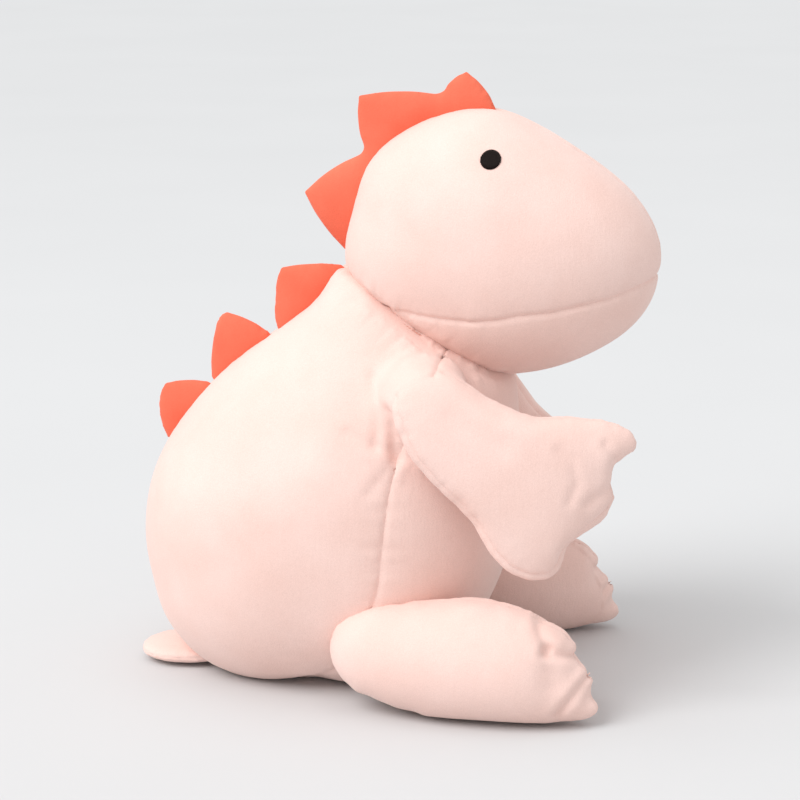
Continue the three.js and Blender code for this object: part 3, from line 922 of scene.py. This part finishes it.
for side, label in ARM_OF.items():
    body.cut(body.values[f"arm_{side}"], [TORSO], TORSO, label)
BELLY, SIDE_RIGHT, SIDE_LEFT, SIDES = 10, 11, 12, 13
body.cut(seam_value(body.points, BELLY_SEAM, 1, 0), [TORSO], SIDES, BELLY)
body.cut(body.points[:, 1].copy(), [SIDES], SIDE_RIGHT, SIDE_LEFT)
ARM_PANELS = {"right": {"outer": 20, "inner": 21}, "left": {"outer": 22, "inner": 23}}
for side, label in ARM_OF.items():
    local = moved(body.points, arm_matrix[side].inverted())
    panels = ARM_PANELS[side]
    across = local[:, [0, 2]] @ ARM_ACROSS
    wrap = RIM_WRAP * MM * np.clip((0.010 - across) / 0.025, 0, 1)
    body.cut(SIGN[side] * local[:, 1] - wrap, [label], panels["inner"], panels["outer"])

depth = below_neck(body.points)
round_neck = np.linalg.norm(body.points - NECK * MM, axis=1)
edge = body.points[(depth > -0.001) & (depth < 0.004) & (round_neck < 0.068)]
front = np.clip((body.points[:, 0] - 0.02) / 0.06, 0.25, 1)
sew(body, edge, 0.6, 1.0, 17, 2.6, 9, 5, front * np.clip((0.085 - round_neck) / 0.02, 0, 1))
sew(body, body.seam((BELLY, SIDE_RIGHT), (BELLY, SIDE_LEFT)), 0.9, 1.5, 12, 0.55, 7, 1)
sew(body, body.seam((SIDE_RIGHT, SIDE_LEFT)), 1.0, 1.4, 12, 0.5, 8, 2)
low_down = np.clip((0.212 - body.points[:, 2]) / 0.03, 0.12, 1)
for side, panels in ARM_PANELS.items():
    sew(body, body.seam((panels["outer"], panels["inner"])), 1.1, 0.8, 8, 0.6, 6, 3)
    sew(body, body.seam(*[(a, b) for a in panels.values() for b in (BELLY, SIDE_RIGHT, SIDE_LEFT)]),
        1.0, 1.6, 9, 1.0, 8, 4, low_down)
body.points = body.points + body.normals() * ((0.9 * lumps(body.points, 62, 11)) * MM)[:, None]
for side, sign in SIGN.items():
    for line, deep, width in BODY_FOLDS:
        crease(body, line, deep, width, Matrix(), sign)
    for line, deep, width in ARM_FOLDS:
        crease(body, line, deep, width, arm_matrix[side], sign)
body.points = on_floor(body.points)


def bend_neck(piece):
    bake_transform(piece)


def bend_arm(piece):
    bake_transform(piece)


for label, name in ((BELLY, "belly_panel"), (SIDE_RIGHT, "body_side_right"), (SIDE_LEFT, "body_side_left")):
    bend_neck(add_panel(f"{name}_cloth", name, body, label, PINK))

for side, panels in ARM_PANELS.items():
    for part, label in panels.items():
        name = f"arm_{side}_{part}_panel"
        bend_arm(add_panel(f"{name}_cloth", name, body, label, PINK))

# ------------------------------------------------------------------ head


def build_head():
    egg = pillow(HEAD_OUTLINE, HEAD_CENTRE, HEAD_HALF, 0.96)
    egg = (held_above(egg[0], NECK_FOLD), egg[1])
    return finer(stuffed(remeshed(egg, 3.4), 2.0, 10, 2.0), 2.1), egg


head, head_form = build_head()
CHIN, HEAD_RIGHT, HEAD_LEFT, CHEEKS = 1, 2, 3, 4
head.cut(seam_value(head.points, MOUTH_SEAM, 0, 1), [0], CHIN, CHEEKS)
head.cut(head.points[:, 1].copy(), [CHEEKS], HEAD_RIGHT, HEAD_LEFT)
sew(head, head.seam((CHIN, HEAD_RIGHT), (CHIN, HEAD_LEFT)), 1.3, 1.0, 9, 0.5, 6.5, 6)
sew(head, head.seam((HEAD_RIGHT, HEAD_LEFT)), 0.9, 0.8, 9, 0.4, 7, 7)
above = -below_neck(head.points)
edge = head.points[(above > -0.001) & (above < 0.003)]
sew(head, edge, 0.4, 0.6, 12, 1.2, 9, 8)
head.points = head.points + head.normals() * ((0.6 * lumps(head.points, 48, 12)) * MM)[:, None]
for label, name in ((CHIN, "chin_panel"), (HEAD_RIGHT, "head_side_right"), (HEAD_LEFT, "head_side_left")):
    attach(add_panel(f"{name}_cloth", name, head, label, PINK), "head")


def add_eye(side):
    """A satin-stitched oval: threads side by side over the cheek, domed in the middle."""
    tree = bvhtree.BVHTree.FromPolygons([tuple(p) for p in head.points], [tuple(t) for t in head.triangles])
    sign = SIGN[side]
    points, faces = [], []
    count, bends, sides, thick = 21, 9, 6, 0.36
    for k in range(count):
        across = -1 + 2 * (k + 0.5) / count
        x = EYE_PLACE[0] + across * EYE_RADII[0]
        reach = EYE_RADII[1] * math.sqrt(1 - across * across)
        middle = []
        for m in range(bends):
            along = -1 + 2 * m / (bends - 1)
            z = EYE_PLACE[1] + along * reach
            hit = tree.ray_cast(Vector((x * MM, sign * 0.2, z * MM)), Vector((0, -sign, 0)))
            dome = math.sqrt(max(0, 1 - (across * 0.9) ** 2 - (along * reach / EYE_RADII[1] * 0.9) ** 2))
            lift = (-0.3 if m in (0, bends - 1) else 0.25) + 0.9 * dome
            middle.append(hit[0] + hit[1] * lift * MM)
        start = len(points)
        for m, place in enumerate(middle):
            way = (middle[min(m + 1, bends - 1)] - middle[max(m - 1, 0)]).normalized()
            out = Vector((0, sign, 0))
            out = (out - way * out.dot(way)).normalized()
            beside = way.cross(out)
            for s in range(sides):
                turn = 2 * math.pi * s / sides
                points.append(place + (out * math.sin(turn) + beside * math.cos(turn)) * thick * MM)
        faces += rings(bends, sides, start)
        faces.append(tuple(start + s for s in reversed(range(sides))))
        faces.append(tuple(start + (bends - 1) * sides + s for s in range(sides)))
    piece = add_object(f"eye_{side}_stitches", np.array([tuple(p) for p in points]), faces, BLACK_THREAD)
    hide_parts(f"eye_{side}")
    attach(piece, "head")


for side in SIGN:
    add_eye(side)

# ------------------------------------------------------------------ legs and tail

LEG_PANELS = {"outer": 1, "inner": 2}
leg_matrix = frame_matrix((LEG_PLACE[0], -LEG_PLACE[1], LEG_PLACE[2]), x=-LEG_ROLL, z=-LEG_YAW)


def leg_thickness(x, z):
    tip = np.clip((x - 85) / 60, 0, 1)
    return 1 - 0.22 * tip * tip * (3 - 2 * tip)


def build_leg():
    form = transformed(inflated(LEG_OUTLINE, LEG_HALF, 4.2, 0.5, leg_thickness), leg_matrix)
    form = (on_floor(form[0]), form[1])
    skin = finer(stuffed(remeshed(form, 3.2), 2.5, 12, 2.5), 1.9)
    local = moved(skin.points, leg_matrix.inverted())
    skin.cut(-local[:, 1], [0], LEG_PANELS["inner"], LEG_PANELS["outer"])
    sew(skin, skin.seam((1, 2)), 1.0, 1.2, 8, 0.7, 6.5, 9)
    for line, deep, width in LEG_FOLDS:
        crease(skin, line, deep, width, Matrix.Translation(leg_matrix.translation), -1)
    skin.points = skin.points + skin.normals() * (0.6 * lumps(skin.points, 40, 13) * MM)[:, None]
    skin.points = on_floor(skin.points)
    return skin


def bend_leg(piece):
    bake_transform(piece)


def bend_tail(piece):
    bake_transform(piece)


leg = build_leg()
for side, sign in SIGN.items():
    for part, label in LEG_PANELS.items():
        half = Skin((leg.points, []))
        half.points = leg.points * np.array((1, -sign, 1))
        half.triangles = leg.triangles if sign < 0 else leg.triangles[:, ::-1]
        half.labels = leg.labels
        name = f"leg_{side}_{part}_panel"
        bend_leg(add_panel(f"{name}_cloth", name, half, label, PINK))

flat_turn = Matrix.Translation(Vector(TAIL_PLACE) * MM) @ Matrix.Rotation(-math.pi / 2, 4, "X")
tail_form = transformed(inflated(TAIL_OUTLINE, 6.7, 3.0, 0.42), flat_turn)
tail = finer(tail_form, 1.6)
tail.cut(tail.points[:, 2] - TAIL_PLACE[2] * MM, [0], 1, 2)
sew(tail, tail.seam((1, 2)), 0.6, 0.5, 6, 0.4, 6, 10)
tail.points = on_floor(tail.points)
for label, part in ((1, "lower"), (2, "upper")):
    name = f"tail_{part}_panel"
    bend_tail(add_panel(f"{name}_cloth", name, tail, label, PINK))

# ------------------------------------------------------------------ crest and back fins


def build_fin(outline, half, sag, seed):
    skin = Skin(inflated(pointed(outline, 3.2, sag), half, 1.25, 0.5))
    middle = np.abs(skin.points[:, 1]) < ON_PLANE
    skin.labels = np.where(skin.points[skin.triangles][:, :, 1].mean(1) < 0, 1, 2)
    sew(skin, skin.points[middle], 0.25, 0.5, 4.5, 0.55, 4.5, seed)
    skin.points = skin.points + skin.normals() * (0.35 * lumps(skin.points, 22, seed) * MM)[:, None]
    skin.points[:, 1] = np.where(middle, skin.points[:, 1] * 0.2, skin.points[:, 1])
    return skin


crest = build_fin(CREST_OUTLINE, 6.6, 2.0, 21)
for label, part in ((1, "right"), (2, "left")):
    name = f"crest_{part}_face"
    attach(add_panel(f"{name}_cloth", name, crest, label, CORAL), "head")


def bend_fin(piece):
    """Bakes the placement of a fin piece into its points."""
    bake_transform(piece)


for seed, (name, outline) in enumerate(FIN_OUTLINES.items()):
    fin = build_fin(outline, FIN_HALF, 1.2, 31 + seed)
    for label, part in ((1, "right"), (2, "left")):
        node = f"fin_{name}_{part}_face"
        bend_fin(add_panel(f"{node}_cloth", node, fin, label, CORAL))

# ------------------------------------------------------------------ inside


def drawn_in(outline, by):
    """An outline moved inwards, without the parts that come too near to the first one."""
    loop = smooth_loop(outline, 3.0)
    way = np.roll(loop, -1, axis=0) - np.roll(loop, 1, axis=0)
    way = way / np.linalg.norm(way, axis=1, keepdims=True)
    turn = np.sum(loop[:, 0] * np.roll(loop[:, 1], -1) - loop[:, 1] * np.roll(loop[:, 0], -1))
    inner = loop + by * np.sign(turn) * np.column_stack((-way[:, 1], way[:, 0]))
    gap = np.min(np.linalg.norm(inner[:, None] - loop[None], axis=2), axis=1)
    return inner[(gap > 0.9 * by) & inside(loop, inner)]


core = remeshed((held_below(torso_form[0], 4), torso_form[1]), 7)
bend_neck(add_stuffing("body_fill", "body_stuffing", core, 7, 2.0, 41))
core = remeshed((held_above(head_form[0], 6), head_form[1]), 7)
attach(add_stuffing("head_fill", "head_stuffing", core, 6, 2.0, 42), "head")
wad = ellipsoid(NECK - NECK_WAY * 2, (40, 40, 40))
wad = (held_below(wad[0], 8), wad[1])
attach(add_stuffing("neck_fill", "neck_stuffing", remeshed(wad, 5), 3, 1.5, 43), "neck")
arm_core = inflated(drawn_in(ARM_OUTLINE, 6), ARM_HALF - 6, 3.4, 0.5, arm_thickness)
leg_core = inflated(drawn_in(LEG_OUTLINE, 6), LEG_HALF - 6, 4.2, 0.5, leg_thickness)
leg_core = transformed(leg_core, leg_matrix)
for side, sign in SIGN.items():
    core = transformed(arm_core, arm_matrix[side])
    bend_arm(add_stuffing(f"arm_{side}_fill", f"arm_{side}_stuffing", core, 0, 0.8, 44))
    core = leg_core if sign < 0 else mirrored(leg_core)
    bend_leg(add_stuffing(f"leg_{side}_fill", f"leg_{side}_stuffing", core, 0, 1.2, 45))
core = transformed(inflated(drawn_in(TAIL_OUTLINE, 3), 4.4, 2.4, 0.42), flat_turn)
bend_tail(add_stuffing("tail_fill", "tail_stuffing", core, 0, 0.3, 46))
core = inflated(drawn_in(CREST_OUTLINE, 3.5), 4.0, 2.2, 0.5)
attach(add_stuffing("crest_fill", "crest_wadding", core, 0, 0.4, 47), "head")
for name, outline in FIN_OUTLINES.items():
    core = inflated(drawn_in(outline, 3), 4.0, 2.0, 0.5)
    bend_fin(add_stuffing(f"fin_{name}_fill", f"fin_{name}_wadding", core, 0, 0.3, 48))


def add_pouch():
    """A lining bag with a gathered rim round its beans, in the seat."""
    x, z = POUCH_CENTRE
    turn = Matrix.Translation(Vector((x, 0, z)) * MM) @ Matrix.Rotation(-math.pi / 2, 4, "X")
    bag = inflated(POUCH_OUTLINE, POUCH_HALF, 3.0, 0.5)
    skin = Skin(bag)
    rim = np.abs(skin.points[:, 1]) < ON_PLANE
    sew(skin, skin.points[rim], 0.2, 0.4, 9, 0.9, 6, 51)
    skin.points = skin.points + skin.normals() * (0.8 * lumps(skin.points, 14, 52) * MM)[:, None]
    piece = add_object("bean_pouch_cloth", moved(skin.points, turn), skin.triangles, LINING)
    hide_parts("bean_pouch")
    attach(piece, "torso")
    points, faces = [], []
    rng = np.random.default_rng(7)
    tree = bvhtree.BVHTree.FromPolygons([tuple(p) for p in bag[0]], bag[1])
    bean = ellipsoid((0, 0, 0), BEAN_RADII, 5, 8)
    loop = smooth_loop(POUCH_OUTLINE, 4)
    for i in np.arange(-50, 51, BEAN_PITCH[0]):
        for j in np.arange(-36, 37, BEAN_PITCH[0]):
            for k in np.arange(-12, 13, BEAN_PITCH[1]):
                place = np.array((i, k, j)) + rng.uniform(-0.7, 0.7, 3)
                gap = tree.find_nearest(Vector(place) * MM)[3]
                if not inside(loop, place[None, (0, 2)])[0] or gap < BEAN_GAP * MM:
                    continue
                middle, way = Vector((place[0], 0, place[2])) * MM, Vector((0, math.copysign(1, k), 0))
                if abs(k) > 1 and tree.ray_cast(middle, way)[3] < abs(place[1]) * MM:
                    continue
                spin = Matrix.Rotation(rng.uniform(0, 6.28), 4, Vector(rng.normal(size=3)))
                faces += [tuple(v + len(points) * len(bean[0]) for v in f) for f in bean[1]]
                points.append(moved(bean[0], Matrix.Translation(Vector(place) * MM) @ spin))
    beans = add_object("beans", moved(np.vstack(points), turn), faces, PELLETS)
    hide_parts("bean_filling")
    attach(beans, "torso")


def add_gather_thread():
    """Two strands twisted round each other, in a ring inside the neck."""
    points, faces = [], []
    steps, sides, turns = 360, 6, 60
    strand_radius = THREAD_RADIUS * 0.55
    across = Vector((NECK_WAY[2], 0, -NECK_WAY[0]))
    way = Vector(NECK_WAY)
    for strand in (0, 1):
        start = len(points)
        for k in range(steps):
            a = 2 * math.pi * k / steps
            out = across * math.cos(a) + Vector((0, 1, 0)) * math.sin(a)
            twist = turns * a + math.pi * strand
            middle = Vector(NECK) - way * (THREAD_RADIUS + 0.5) + out * THREAD_RING
            middle += (out * math.cos(twist) + way * math.sin(twist)) * THREAD_RADIUS * 0.45
            for s in range(sides):
                b = 2 * math.pi * s / sides
                points.append((middle + (out * math.cos(b) + way * math.sin(b)) * strand_radius) * MM)
        for k in range(steps):
            for s in range(sides):
                a, b = start + k * sides, start + (k + 1) % steps * sides
                faces.append((a + s, b + s, b + (s + 1) % sides, a + (s + 1) % sides))
    piece = add_object("neck_thread", np.array([tuple(p) for p in points]), faces, PINK_THREAD)
    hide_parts("neck_gather_thread")
    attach(piece, "torso")


add_pouch()
add_gather_thread()

# ------------------------------------------------------------------ floor and finish


def add_floor():
    steps = 24
    edge = np.linspace(-14, 14, steps)
    points = np.array([(x, y, -0.0004) for y in edge for x in edge])
    faces = [(r * steps + c, r * steps + c + 1, (r + 1) * steps + c + 1, (r + 1) * steps + c)
             for r in range(steps - 1) for c in range(steps - 1)]
    add_object("floor", points, faces, PAPER)


add_camera()
add_studio()
add_floor()
